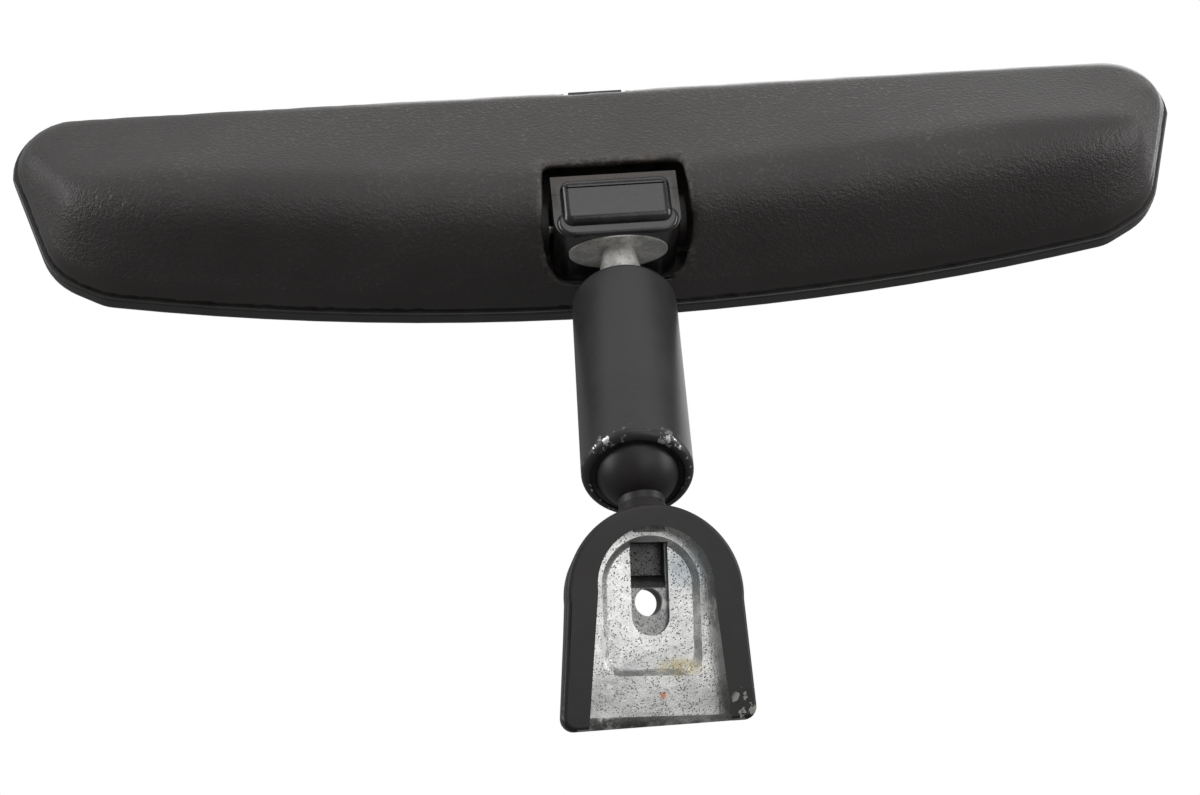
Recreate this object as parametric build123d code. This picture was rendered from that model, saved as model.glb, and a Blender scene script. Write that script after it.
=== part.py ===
"""Interior rearview mirror: wedge-channel foot, double-ball arm, day/night block and mirror case.

Millimetres. The origin is on the floor of the foot's shallow recess, under the windscreen button
and between the slot and the open end. +Y leaves the foot towards the windscreen, +Z runs along
the channel to its open end, +X runs across the channel. The glass of the mirror faces -Y.
The shapes below are drawn from the set-screw hole and moved onto that origin when saved.
"""
import os
from math import cos, radians, sin, sqrt, tan

from build123d import *

os.makedirs("parts", exist_ok=True)

# ---------------------------------------------------------------- overall placing
SEAT_Z = 10.0
BALL_DIAMETER = 17.0
BALL_SPACING = 49.0
LOWER_BALL_Y = -8.1
LOWER_BALL_Z = -26.8
ARM_LEAN = 47.8
ARM_SWING = 7.5
HEAD_PITCH = -20.1
HEAD_YAW = 9.5
HEAD_ROLL = 2.6
UPPER_BALL_HEIGHT = 29.1
UPPER_BALL_DEPTH = 17.5

# ---------------------------------------------------------------- foot
FOOT_ARCH_RADIUS = 17.4
FOOT_ARCH_CENTRE = -1.0
FOOT_MOUTH_HALF = 19.2
FOOT_MOUTH_Z = 23.6
FOOT_MOUTH_SKEW = 0.8
FOOT_DRAFT = 9.0
FOOT_CORNER = 2.6
FOOT_EDGE_ROUND = 0.9
CHANNEL_DEPTH = 4.4
CHANNEL_TOP_HALF = 13.2
CHANNEL_MOUTH_HALF = 15.8
CHANNEL_ARCH_Z = -16.0
CHANNEL_UNDERCUT = 1.9
BASE_BACK_MOUTH = -4.4
BASE_BACK_MIDDLE = -5.2
BASE_BACK_ARCH = -10.6
MOUTH_BEVEL_LENGTH = 1.9
MOUTH_BEVEL_DROP = 0.9
RECESS_HALF = 9.6
RECESS_TOP_Z = -12.6
RECESS_END_Z = 14.1
RECESS_DEPTH = 1.0
RECESS_WALL = 1.3
RECESS_CORNER = 3.4
SLOT_HALF = 3.7
SLOT_TOP_Z = -11.4
SLOT_END_Z = 6.5
SLOT_DEPTH = 2.4
POCKET_DEPTH = 5.0
POCKET_END_Z = -5.3
SCREW_HOLE_DIAMETER = 5.4
SCREW_BOSS_DIAMETER = 11.0
SCREW_BOSS_BACK = -7.2
FOOT_NECK_DIAMETER = 9.0
FOOT_NECK_TILT = 19.8

# ---------------------------------------------------------------- arm
TUBE_DIAMETER = 22.0
TUBE_WALL = 1.35
TUBE_OVERHANG = 3.0
TUBE_SHOULDER = 1.6
LIP_DIAMETER = 18.5
RING_INNER_GAP = 0.05
RING_THICKNESS = 1.0
RING_FRONT = 2.75
RING_BACK = 0.6
CUP_DIAMETER = 19.2
CUP_GAP = 0.08
CUP_RIM = 4.9
CUP_END = 12.0
CUP_GREASE_HOLE = 4.0
WASHER_DIAMETER = 18.4
WASHER_BORE = 9.0
WASHER_THICKNESS = 1.0
WASHER_GAP = 0.1
WIRE_DIAMETER = 2.0
COIL_DIAMETER = 14.4
COIL_PITCH = 4.2

# ---------------------------------------------------------------- ball stud and block
STUD_PLATE_WIDTH = 21.0
STUD_PLATE_HEIGHT = 12.8
STUD_PLATE_DEPTH = 18.2
STUD_PLATE_FACE = 14.8
STUD_PLATE_THICKNESS = 2.4
STUD_PLATE_PROUD = 0.3
STUD_NECK_BALL = 11.4
STUD_NECK_PLATE = 6.6
SHANK_DIAMETER = 7.0
SHANK_GAP = 0.05
RETAINER_DIAMETER = 10.0
RETAINER_THICKNESS = 1.2
RETAINER_POCKET = 10.6
RETAINER_POCKET_DEPTH = 4.0
BLOCK_HALF = 13.4
BLOCK_RAISED_HALF = 11.6
BLOCK_BACK_W = -0.8
BLOCK_HUMP_START_W = 1.2
BLOCK_HUMP_END_W = 12.2
BLOCK_HUMP_CORNER = 2.2
BLOCK_HUMP_ROUND = 1.9
BLOCK_SKIRT_HALF = 12.8
BLOCK_SKIRT_W = 8.6
BLOCK_SKIRT_DEPTH = 25.5
BLOCK_SKIRT_CORNER = 3.7
BLOCK_SKIRT_ROUND = 0.9
BLOCK_LEDGE_DEPTH = 24.5
BLOCK_TOP_DEPTH = 27.0
BLOCK_BOTTOM_DEPTH = 7.6
BLOCK_CORNER = 4.4
PARTING_LINE_W = 3.6
PARTING_LINE_WIDTH = 0.35
PIN_DIAMETER = 3.0
PIN_GAP = 0.05
PIN_W = 4.0
PIN_DEPTH = 11.0
PIN_HALF = 15.9
STOP_PAD_THICKNESS = 1.0

# ---------------------------------------------------------------- case
CASE_TOP = 20.8
CASE_CORNER_X = 109.5
CASE_CORNER_W = 10.4
CASE_SHOULDER_X = 120.5
CASE_SHOULDER_W = 4.2
CASE_END_X = 128.7
CASE_END_W = -21.0
CASE_BOTTOM = -35.0
CASE_CORNER_ROUND = 10.0
CASE_SHOULDER_ROUND = 15.0
CASE_BOTTOM_ROUND = 13.0
CASE_END_TAPER = 24.0
RIM_TOP_DEPTH = 8.0
RIM_BOTTOM_DEPTH = 8.0
CREST_DEPTH = 31.0
CREST_INSET = 14.0
CREST_ROUND = 10.0
CROWN_FLAT_HALF = 74.0
CROWN_POWER = 2.2
SHELL_WALL = 2.2
SHELL_FRONT = 5.2
CUTOUT_TOP_W = -3.4
CUTOUT_TOP_HALF = 14.8
CUTOUT_LOW_HALF = 15.9
CUTOUT_LOW_W = 17.6
CUTOUT_CORNER = 5.5
BEZEL_OVERHANG = 0.4
BEZEL_REAR = 5.0
BEZEL_LIP = 3.6
BEZEL_LIP_THICKNESS = 1.0
BEZEL_SEAT = 2.0
BEZEL_ROUND = 2.2
GLASS_GAP = 0.25
GLASS_TOP_THICKNESS = 3.8
GLASS_BOTTOM_THICKNESS = 2.2
BACKING_DEPTH = 5.3
BACKING_THICKNESS = 0.5
BACKING_INSET = 6.4
CARRIER_DEPTH = 6.4
CARRIER_THICKNESS = 1.6
CARRIER_HALF = 88.0
CARRIER_TOP_W = 9.5
CARRIER_BOTTOM_W = -19.0
WINDOW_HALF = 13.8
WINDOW_TOP_W = 18.0
WINDOW_BOTTOM_W = -12.0
EAR_INNER = 14.0
EAR_THICKNESS = 1.5
EAR_WIDTH = 9.0
EAR_TOP_DEPTH = 17.5
SCREW_X = 76.0
SCREW_W = (-11.0, 5.0)
SCREW_DIAMETER = 3.0
SCREW_HEAD = 5.6
SCREW_LENGTH = 8.0
BOSS_DIAMETER = 7.0

# ---------------------------------------------------------------- toggle lever
LEVER_W = -28.6
LEVER_DEPTH = 7.6
LEVER_HUB = 3.2
LUG_HEIGHT = 2.6
LEVER_POCKET_HALF = 10.8
LEVER_POCKET_WALL = 1.1
LEVER_PIN_DIAMETER = 1.6
LEVER_PIN_HALF = 9.6
LEVER_HALF = 6.0
LEVER_ARM = 8.5
LEVER_ARM_TILT = 12.0
TAB_THICKNESS = 1.5
TAB_TOP_W = -33.35
TAB_FRONT = -9.0
TAB_SETBACK = 1.7
NOTCH_HALF = 7.0
SPRING_STRIP = 0.4
SPRING_HALF = 2.5

BALL_RADIUS = BALL_DIAMETER / 2


def unit(x, y, z):
    length = sqrt(x * x + y * y + z * z)
    return Vector(x / length, y / length, z / length)


def arm_direction():
    """From the foot ball to the head ball."""
    side = sin(radians(ARM_SWING))
    rest = cos(radians(ARM_SWING))
    back = -sin(radians(90 - ARM_LEAN)) * rest
    down = -cos(radians(90 - ARM_LEAN)) * rest
    return unit(side, back, down)


def head_axes():
    """Lateral, backward and upward directions of the mirror case."""
    cp, sp = cos(radians(HEAD_PITCH)), sin(radians(HEAD_PITCH))
    cy, sy = cos(radians(HEAD_YAW)), sin(radians(HEAD_YAW))
    cr, sr = cos(radians(HEAD_ROLL)), sin(radians(HEAD_ROLL))
    lateral = unit(cy * cr - sy * sp * sr, sy * cr + cy * sp * sr, -cp * sr)
    backward = unit(-sy * cp, cy * cp, sp)
    upward = unit(cy * sr + sy * sp * cr, sy * sr - cy * sp * cr, cp * cr)
    return lateral, backward, upward


LOWER_BALL = Vector(0, LOWER_BALL_Y, LOWER_BALL_Z)
UPPER_BALL = LOWER_BALL + arm_direction() * BALL_SPACING
HEAD_X, HEAD_BACK, HEAD_UP = head_axes()
HEAD_ORIGIN = UPPER_BALL - HEAD_BACK * UPPER_BALL_DEPTH - HEAD_UP * UPPER_BALL_HEIGHT

# Foot: the plane of the channel floor, seen from the windscreen side.
FOOT = Plane(origin=(0, 0, 0), x_dir=(-1, 0, 0), z_dir=(0, 1, 0))
# Arm: local Z runs from the foot ball to the head ball.
ARM = Plane(origin=LOWER_BALL, x_dir=(1, 0, 0), z_dir=arm_direction())
# Head: local Z runs from the glass to the back of the case, local Y upwards.
HEAD = Plane(origin=HEAD_ORIGIN, x_dir=HEAD_X * -1, z_dir=HEAD_BACK)


def save(name, shape):
    solids = (Pos(0, RECESS_DEPTH, -SEAT_Z) * shape).solids()
    body = solids[0] if len(solids) == 1 else Compound(children=list(solids))
    body.label = name
    export_step(body, f"parts/{name}.step")


def post(radius, length):
    """Cylinder standing on its own plane."""
    return Cylinder(radius, length, align=(Align.CENTER, Align.CENTER, Align.MIN))


def tube_along(start, direction, radius, length):
    """Cylinder from a point along a direction."""
    return Plane(origin=start, z_dir=direction) * post(radius, length)


def ring_z(outer, inner, bottom, top):
    """Flat ring on the local Z axis."""
    body = Pos(0, 0, bottom) * post(outer, top - bottom)
    return body - Pos(0, 0, bottom - 1) * post(inner, top - bottom + 2)


def slab(low, high, half=400.0):
    """Thick slice of space between two local heights."""
    return Pos(0, 0, (low + high) / 2) * Box(2 * half, 2 * half, high - low)


# ================================================================ foot
def arch_outline(arch_radius, arch_centre, mouth_half, mouth_z, skew=0.0):
    """Horseshoe outline, local Y along the channel: round at the arch, straight flanks to the mouth."""
    flank_y = arch_centre + 1.0
    far = (mouth_half, mouth_z + skew)
    near = (-mouth_half, mouth_z - skew)
    return make_face(
        [
            ThreePointArc((-arch_radius, flank_y), (0, arch_centre - arch_radius), (arch_radius, flank_y)),
            Line((arch_radius, flank_y), far),
            Line(far, near),
            Line(near, (-arch_radius, flank_y)),
        ]
    )


def foot_outline(inset):
    """Outline of the foot, drawn in by an inset except along the mouth."""
    half = FOOT_MOUTH_HALF - inset
    outline = arch_outline(FOOT_ARCH_RADIUS - inset, FOOT_ARCH_CENTRE, half, FOOT_MOUTH_Z, FOOT_MOUTH_SKEW)
    return fillet(outline.vertices().sort_by(Axis.Y)[-2:], FOOT_CORNER)


def foot_blank():
    """Casting before the channel is cut: horseshoe block with drafted flanks and a sloping back."""
    inset = (CHANNEL_DEPTH - BASE_BACK_ARCH) * tan(radians(FOOT_DRAFT))
    front = foot_outline(0)
    block = loft([Pos(0, 0, BASE_BACK_ARCH) * foot_outline(inset), Pos(0, 0, CHANNEL_DEPTH) * front])
    face_edges = block.faces().sort_by(Axis.Z)[-1].edges()
    block = fillet(face_edges, FOOT_EDGE_ROUND)
    side = make_face(
        Polyline(
            (FOOT_MOUTH_Z + 5, CHANNEL_DEPTH + 5),
            (FOOT_MOUTH_Z + 5, BASE_BACK_MOUTH),
            (6.0, BASE_BACK_MIDDLE),
            (-10.0, BASE_BACK_ARCH + 0.8),
            (-17.5, BASE_BACK_ARCH + 2.2),
            (-25.0, BASE_BACK_ARCH + 7.0),
            (-25.0, CHANNEL_DEPTH + 5),
            close=True,
        )
    )
    keep = extrude(Plane.YZ * side, 40, both=True)
    return block & keep


def channel_tool():
    """Dovetail channel, wider at the floor than at the face and open at the mouth."""
    reach = FOOT_MOUTH_Z + 8.0
    slope = (CHANNEL_MOUTH_HALF - CHANNEL_TOP_HALF) / (FOOT_MOUTH_Z + 6.0)
    mouth_half = CHANNEL_MOUTH_HALF + slope * 8.0
    arch_radius = CHANNEL_TOP_HALF
    arch_centre = CHANNEL_ARCH_Z + arch_radius
    floor = arch_outline(arch_radius, arch_centre, mouth_half, reach)
    top_half = mouth_half - CHANNEL_UNDERCUT
    face = arch_outline(arch_radius - CHANNEL_UNDERCUT, arch_centre, top_half, reach)
    body = loft([floor, Pos(0, 0, CHANNEL_DEPTH) * face])
    return body + Pos(0, 0, CHANNEL_DEPTH) * extrude(face, 3.0)


def recess_outline(inset):
    half = RECESS_HALF - inset
    outline = arch_outline(half, RECESS_TOP_Z + RECESS_HALF, half, RECESS_END_Z - inset)
    return fillet(outline.vertices().sort_by(Axis.Y)[-2:], RECESS_CORNER)


def recess_tool():
    """Shallow arched recess in the channel floor, with sloping walls."""
    return loft([Pos(0, 0, -RECESS_DEPTH) * recess_outline(RECESS_WALL), recess_outline(0)])


def mouth_bevel_tool():
    """Bevel where the channel floor rolls down to the open end."""
    slope = MOUTH_BEVEL_DROP / MOUTH_BEVEL_LENGTH
    start = FOOT_MOUTH_Z - MOUTH_BEVEL_LENGTH
    side = make_face(
        Polyline(
            (start, 0.0),
            (start + 5.0, 0.0),
            (start + 5.0, -5.0 * slope),
            close=True,
        )
    )
    return extrude(Plane.YZ * side, CHANNEL_MOUTH_HALF - 0.5, both=True)


def slot_tool():
    """Round-ended slot, with a deeper ramped pocket towards the arch."""
    straight = SLOT_END_Z - SLOT_HALF
    body = Pos(0, (SLOT_TOP_Z + straight) / 2, 0) * Rectangle(2 * SLOT_HALF, straight - SLOT_TOP_Z)
    outline = body + Pos(0, straight) * Circle(SLOT_HALF)
    slot = Pos(0, 0, -SLOT_DEPTH) * extrude(outline, SLOT_DEPTH + 1)
    ramp = make_face(
        Polyline(
            (SLOT_TOP_Z, 0.5),
            (SLOT_TOP_Z, -POCKET_DEPTH),
            (POCKET_END_Z, -POCKET_DEPTH),
            (POCKET_END_Z + 2.6, -SLOT_DEPTH + 0.01),
            (POCKET_END_Z + 2.6, 0.5),
            close=True,
        )
    )
    pocket = extrude(Plane.YZ * ramp, SLOT_HALF - 0.3, both=True)
    return slot + pocket


def make_foot():
    body = foot_blank()
    boss_height = -SCREW_BOSS_BACK - SLOT_DEPTH - 1.0
    body = body + Pos(0, 0, SCREW_BOSS_BACK) * post(SCREW_BOSS_DIAMETER / 2, boss_height)
    body = body - channel_tool() - recess_tool() - slot_tool() - mouth_bevel_tool()
    body = body - Pos(0, 0, -20) * post(SCREW_HOLE_DIAMETER / 2, 40)
    body = FOOT * body
    tilt = radians(FOOT_NECK_TILT)
    stud = Vector(0, sin(tilt), cos(tilt))
    neck = tube_along(LOWER_BALL, stud, FOOT_NECK_DIAMETER / 2, 15.5)
    narrow = FOOT_NECK_DIAMETER / 2 - 0.2
    wide = FOOT_NECK_DIAMETER / 2 + 1.6
    on_plane = (Align.CENTER, Align.CENTER, Align.MIN)
    flare = Plane(origin=LOWER_BALL + stud * 8.0, z_dir=stud) * Cone(narrow, wide, 6.0, align=on_plane)
    ball = Pos(LOWER_BALL) * Sphere(BALL_RADIUS)
    return body + neck + flare + ball


# ================================================================ arm
def make_tube():
    half = TUBE_DIAMETER / 2
    bore = half - TUBE_WALL
    length = BALL_SPACING + 2 * TUBE_OVERHANG
    body = Pos(0, 0, -TUBE_OVERHANG) * post(half, length)
    body = fillet(body.edges().filter_by(GeomType.CIRCLE), TUBE_SHOULDER)
    mouth = Pos(0, 0, -10) * post(LIP_DIAMETER / 2, BALL_SPACING + 20)
    seats = Sphere(bore) + Pos(0, 0, BALL_SPACING) * Sphere(bore)
    return ARM * (body - post(bore, BALL_SPACING) - seats - mouth)


def seat_ring():
    """Thin spherical seat between a ball and the rolled lip; the mouth is towards -Z."""
    inner = BALL_RADIUS + RING_INNER_GAP
    return (Sphere(inner + RING_THICKNESS) - Sphere(inner)) & slab(-RING_FRONT, RING_BACK)


def ball_cup():
    """Spring-loaded cup behind a ball; the ball is towards -Z."""
    body = ring_z(CUP_DIAMETER / 2, CUP_GREASE_HOLE / 2, CUP_RIM, CUP_END)
    return body - Sphere(BALL_RADIUS + CUP_GAP)


def spring_washer():
    bottom = CUP_END + WASHER_GAP
    return ring_z(WASHER_DIAMETER / 2, WASHER_BORE / 2, bottom, bottom + WASHER_THICKNESS)


def at_head_end(shape):
    return ARM * (Pos(0, 0, BALL_SPACING) * (Rot(180, 0, 0) * shape))


def make_spring():
    start = CUP_END + 2 * WASHER_GAP + WASHER_THICKNESS + WIRE_DIAMETER / 2
    height = BALL_SPACING - 2 * start
    path = Pos(0, 0, start) * Helix(COIL_PITCH, height, COIL_DIAMETER / 2)
    profile = Plane(origin=path @ 0, z_dir=path % 0) * Circle(WIRE_DIAMETER / 2)
    return ARM * sweep(profile, path=path, is_frenet=True)


# ================================================================ ball stud and block
def stud_plate(extra, low, high):
    """Oval plate of the stud, facing upwards in the head."""
    oval = Ellipse(STUD_PLATE_WIDTH / 2 + extra, STUD_PLATE_HEIGHT / 2 + extra)
    plane = Plane(origin=(0, low, STUD_PLATE_DEPTH), x_dir=(1, 0, 0), z_dir=(0, 1, 0))
    return extrude(plane * oval, high - low)


def make_stud():
    ball_at = Vector(0, UPPER_BALL_HEIGHT, UPPER_BALL_DEPTH)
    plate_at = Vector(0, STUD_PLATE_FACE - 0.5, STUD_PLATE_DEPTH)
    axis = ball_at - plate_at
    on_plane = (Align.CENTER, Align.CENTER, Align.MIN)
    neck = Cone(STUD_NECK_PLATE / 2, STUD_NECK_BALL / 2, axis.length - 4.0, align=on_plane)
    neck = Plane(origin=plate_at, z_dir=axis) * neck
    ball = Pos(ball_at) * Sphere(BALL_RADIUS)
    plate = stud_plate(0, STUD_PLATE_FACE - STUD_PLATE_THICKNESS, STUD_PLATE_FACE)
    foot = (0, BLOCK_BACK_W + 1.0, STUD_PLATE_DEPTH)
    shank = tube_along(foot, (0, 1, 0), SHANK_DIAMETER / 2, STUD_PLATE_FACE - 1.5)
    return HEAD * (neck + ball + plate + shank)


def make_retainer():
    start = BLOCK_BACK_W + RETAINER_POCKET_DEPTH - RETAINER_THICKNESS - 0.05
    washer = ring_z(RETAINER_DIAMETER / 2, SHANK_DIAMETER / 2 + 0.02, 0, RETAINER_THICKNESS)
    return HEAD * (Plane(origin=(0, start, STUD_PLATE_DEPTH), z_dir=(0, 1, 0)) * washer)


def block_layer(half, low_w, high_w, top_depth, corner, round_off):
    """One stepped layer of the block, its corners rounded in plan and its top edges rolled."""
    bottom = BLOCK_BOTTOM_DEPTH
    plan = Pos(0, (low_w + high_w) / 2) * Rectangle(2 * half, high_w - low_w)
    ends = plan.vertices().sort_by(Axis.Y)
    plan = fillet(ends[-2:], corner)
    if round_off:
        plan = fillet([v for v in plan.vertices() if v.Y < low_w + 0.01], min(corner, 2.0))
    layer = Pos(0, 0, bottom) * extrude(plan, top_depth - bottom)
    if round_off:
        layer = fillet(layer.faces().sort_by(Axis.Z)[-1].edges(), round_off)
    return layer


def make_block():
    """Moulded day/night block round the stud plate: base, skirt under the plate and raised hump."""
    face = STUD_PLATE_FACE - STUD_PLATE_PROUD
    base = block_layer(BLOCK_HALF, BLOCK_BACK_W, face, BLOCK_LEDGE_DEPTH, BLOCK_CORNER, 0)
    skirt = block_layer(
        BLOCK_SKIRT_HALF, BLOCK_SKIRT_W, face, BLOCK_SKIRT_DEPTH, BLOCK_SKIRT_CORNER, BLOCK_SKIRT_ROUND
    )
    hump = block_layer(
        BLOCK_RAISED_HALF,
        BLOCK_HUMP_START_W,
        BLOCK_HUMP_END_W,
        BLOCK_TOP_DEPTH,
        BLOCK_HUMP_CORNER,
        BLOCK_HUMP_ROUND,
    )
    groove_size = PARTING_LINE_WIDTH
    groove = Pos(0, PARTING_LINE_W, BLOCK_TOP_DEPTH) * Box(2 * BLOCK_HALF, groove_size, 2 * groove_size)
    body = base + skirt + (hump - groove)
    body = body - stud_plate(SHANK_GAP, STUD_PLATE_FACE - STUD_PLATE_THICKNESS - SHANK_GAP, 40)
    below = (0, -20, STUD_PLATE_DEPTH)
    bore = tube_along(below, (0, 1, 0), SHANK_DIAMETER / 2 + SHANK_GAP, 40)
    pocket = tube_along(below, (0, 1, 0), RETAINER_POCKET / 2, 20 + BLOCK_BACK_W + RETAINER_POCKET_DEPTH)
    pin = tube_along((-40, PIN_W, PIN_DEPTH), (1, 0, 0), PIN_DIAMETER / 2 + PIN_GAP, 80)
    return HEAD * (body - bore - pocket - pin)


def make_pin():
    body = tube_along((-PIN_HALF, PIN_W, PIN_DEPTH), (1, 0, 0), PIN_DIAMETER / 2, 2 * PIN_HALF)
    return HEAD * chamfer(body.edges().filter_by(GeomType.CIRCLE), 0.3)


def make_stop_pad():
    top = BLOCK_BOTTOM_DEPTH - 0.02
    pad = Pos(0, 3.5, top - STOP_PAD_THICKNESS / 2) * Box(16, 8, STOP_PAD_THICKNESS)
    return HEAD * fillet(pad.edges().filter_by(Axis.Z), 1.5)


# ================================================================ case
def case_outline(inset):
    """Front outline of the case, arched along the top and straight along the bottom."""
    left = (-CASE_CORNER_X, CASE_CORNER_W)
    arc_top = ThreePointArc(left, (0, CASE_TOP), (CASE_CORNER_X, CASE_CORNER_W))
    right = Polyline(
        (CASE_CORNER_X, CASE_CORNER_W),
        (CASE_SHOULDER_X, CASE_SHOULDER_W),
        (CASE_END_X, CASE_END_W),
        (CASE_END_X, CASE_BOTTOM),
        (-CASE_END_X, CASE_BOTTOM),
        (-CASE_END_X, CASE_END_W),
        (-CASE_SHOULDER_X, CASE_SHOULDER_W),
        (-CASE_CORNER_X, CASE_CORNER_W),
    )
    face = make_face([arc_top] + list(right.edges()))
    face = fillet([v for v in face.vertices() if v.Y < CASE_BOTTOM + 1], CASE_BOTTOM_ROUND)
    face = fillet([v for v in face.vertices() if abs(v.Y - CASE_SHOULDER_W) < 0.01], CASE_SHOULDER_ROUND)
    face = fillet([v for v in face.vertices() if abs(v.Y - CASE_CORNER_W) < 0.01], CASE_CORNER_ROUND)
    if inset:
        face = offset(face, amount=-inset)
    return face


def top_edge(x):
    """Height of the top edge of the outline at a distance from the middle."""
    reach = min(abs(x), CASE_END_X)
    if reach > CASE_SHOULDER_X:
        fall = (CASE_SHOULDER_W - CASE_END_W) / (CASE_END_X - CASE_SHOULDER_X)
        return CASE_SHOULDER_W - fall * (reach - CASE_SHOULDER_X)
    if reach > CASE_CORNER_X:
        fall = (CASE_CORNER_W - CASE_SHOULDER_W) / (CASE_SHOULDER_X - CASE_CORNER_X)
        return CASE_CORNER_W - fall * (reach - CASE_CORNER_X)
    drop = CASE_TOP - CASE_CORNER_W
    radius = (CASE_CORNER_X**2 + drop**2) / (2 * drop)
    return CASE_TOP - radius + sqrt(radius**2 - reach**2)


def bottom_edge(x):
    """Height of the bottom edge of the outline, rising round the lower corners."""
    over = abs(x) - (CASE_END_X - CASE_BOTTOM_ROUND)
    if over <= 0:
        return CASE_BOTTOM
    over = min(over, 0.97 * CASE_BOTTOM_ROUND)
    return CASE_BOTTOM + CASE_BOTTOM_ROUND - sqrt(CASE_BOTTOM_ROUND**2 - over**2)


def crown(x):
    """Share of the full depth left at a distance from the middle, falling round the ends."""
    over = (abs(x) - CROWN_FLAT_HALF) / (CASE_END_X + 0.6 - CROWN_FLAT_HALF)
    if over <= 0:
        return 1.0
    return sqrt(max(0.012, 1.0 - over**CROWN_POWER))


def case_section(x, wall):
    """Profile across the case: top rim, steep slope to the crest, long panel to the bottom rim."""
    top = top_edge(x)
    bottom = bottom_edge(x)
    share = min(1.0, (top - bottom) / (CASE_CORNER_W - CASE_BOTTOM))
    rim = RIM_TOP_DEPTH - 0.5 * wall
    crest_depth = rim + (CREST_DEPTH - RIM_TOP_DEPTH - 0.75 * wall) * crown(x)
    front = SHELL_FRONT - 2.0 if wall else SHELL_FRONT
    side = -wall - 0.1 if wall else 0.5
    profile = make_face(
        Polyline(
            (bottom - side, front),
            (top + side, front),
            (top + side, rim),
            (top - CREST_INSET * share - 0.3 * wall, crest_depth),
            (bottom - side + 0.6 * share, rim),
            close=True,
        )
    )
    crest = profile.vertices().sort_by(Axis.Y)[-1]
    profile = fillet(crest, CREST_ROUND * share * crown(x))
    shrink = (CASE_END_X - 2.0 * wall) / CASE_END_X
    return Plane.YZ.offset(x * shrink) * profile


def drafted_prism(outline, height):
    """Outline raised towards the back of the case with drafted walls."""
    prism = extrude(outline, height, taper=CASE_END_TAPER)
    if prism.bounding_box().max.Z > 1:
        return prism
    return mirror(prism, Plane.XY)


def case_solid(wall):
    """Solid bounded by the outside (wall 0) or the inside of the rear shell."""
    half = [20, 45, 70, 88, 98, 106, 112, 117, 121, 124, 126.5, 128.3]
    stations = [-x for x in reversed(half)] + [0] + half
    body = loft([case_section(x, wall) for x in stations])
    if wall:
        return body
    return body & (Pos(0, 0, SHELL_FRONT) * drafted_prism(case_outline(0), 40))


def cutout_tool():
    """Opening in the back for the block and ball stud."""
    outline = make_face(
        Polyline(
            (-CUTOUT_TOP_HALF, CUTOUT_TOP_W),
            (CUTOUT_TOP_HALF, CUTOUT_TOP_W),
            (CUTOUT_LOW_HALF, CUTOUT_LOW_W - 7),
            (CUTOUT_LOW_HALF - 1.2, CUTOUT_LOW_W),
            (-CUTOUT_LOW_HALF + 1.2, CUTOUT_LOW_W),
            (-CUTOUT_LOW_HALF, CUTOUT_LOW_W - 7),
            close=True,
        )
    )
    low = [v for v in outline.vertices() if abs(v.Y - CUTOUT_LOW_W) < 0.01]
    outline = fillet(low, CUTOUT_CORNER)
    return Pos(0, 0, 9.0) * extrude(outline, 40)


def lever_notch():
    return Pos(0, CASE_BOTTOM, 2) * Box(2 * NOTCH_HALF, 2 * (TAB_TOP_W + 0.5 - CASE_BOTTOM), 12.4)


def lever_pocket():
    """Thinned patch of the shell over the lever hub and its lugs."""
    slope = (CREST_DEPTH - RIM_BOTTOM_DEPTH) / (CASE_TOP - CREST_INSET - CASE_BOTTOM - 0.6)
    low = CASE_BOTTOM + 1.8
    high = CARRIER_BOTTOM_W
    patch = make_face(
        Polyline(
            (low, SHELL_FRONT - 1),
            (high, SHELL_FRONT - 1),
            (high, RIM_BOTTOM_DEPTH + slope * (high - CASE_BOTTOM - 0.6) - LEVER_POCKET_WALL),
            (low, RIM_BOTTOM_DEPTH + slope * (low - CASE_BOTTOM - 0.6) - LEVER_POCKET_WALL),
            close=True,
        )
    )
    return extrude(Plane.YZ * patch, LEVER_POCKET_HALF, both=True)


def screw_places():
    return [(side * SCREW_X, w) for side in (-1, 1) for w in SCREW_W]


def make_shell():
    outer = case_solid(0)
    body = outer - case_solid(SHELL_WALL)
    start = CARRIER_DEPTH + CARRIER_THICKNESS + 0.05
    for x, w in screw_places():
        boss = Pos(x, w, start) * post(BOSS_DIAMETER / 2, 30)
        pilot = Pos(x, w, start - 1) * post(SCREW_DIAMETER / 2 + 0.02, SCREW_LENGTH)
        body = body + (boss & outer) - pilot
    return HEAD * (body - cutout_tool() - lever_notch() - lever_pocket())


def make_bezel():
    outer = extrude(case_outline(-BEZEL_OVERHANG), BEZEL_REAR)
    outer = fillet(outer.faces().sort_by(Axis.Z)[0].edges(), BEZEL_ROUND)
    outer = fillet(outer.faces().sort_by(Axis.Z)[-1].edges(), 0.5)
    seat = Pos(0, 0, BEZEL_LIP_THICKNESS) * extrude(case_outline(BEZEL_SEAT), 10)
    sight = Pos(0, 0, -1) * extrude(case_outline(BEZEL_LIP), 10)
    return HEAD * (outer - seat - sight - lever_notch())


def make_glass():
    front = BEZEL_LIP_THICKNESS + 0.1
    body = Pos(0, 0, front) * extrude(case_outline(BEZEL_SEAT + GLASS_GAP), GLASS_TOP_THICKNESS)
    rise = GLASS_TOP_THICKNESS - GLASS_BOTTOM_THICKNESS
    wedge = make_face(
        Polyline(
            (CASE_TOP, front + GLASS_TOP_THICKNESS),
            (CASE_BOTTOM, front + GLASS_TOP_THICKNESS - rise),
            (CASE_BOTTOM, 30),
            (CASE_TOP, 30),
            close=True,
        )
    )
    return HEAD * (body - extrude(Plane.YZ * wedge, 200, both=True))


def make_backing():
    return HEAD * (Pos(0, 0, BACKING_DEPTH) * extrude(case_outline(BACKING_INSET), BACKING_THICKNESS))


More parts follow.
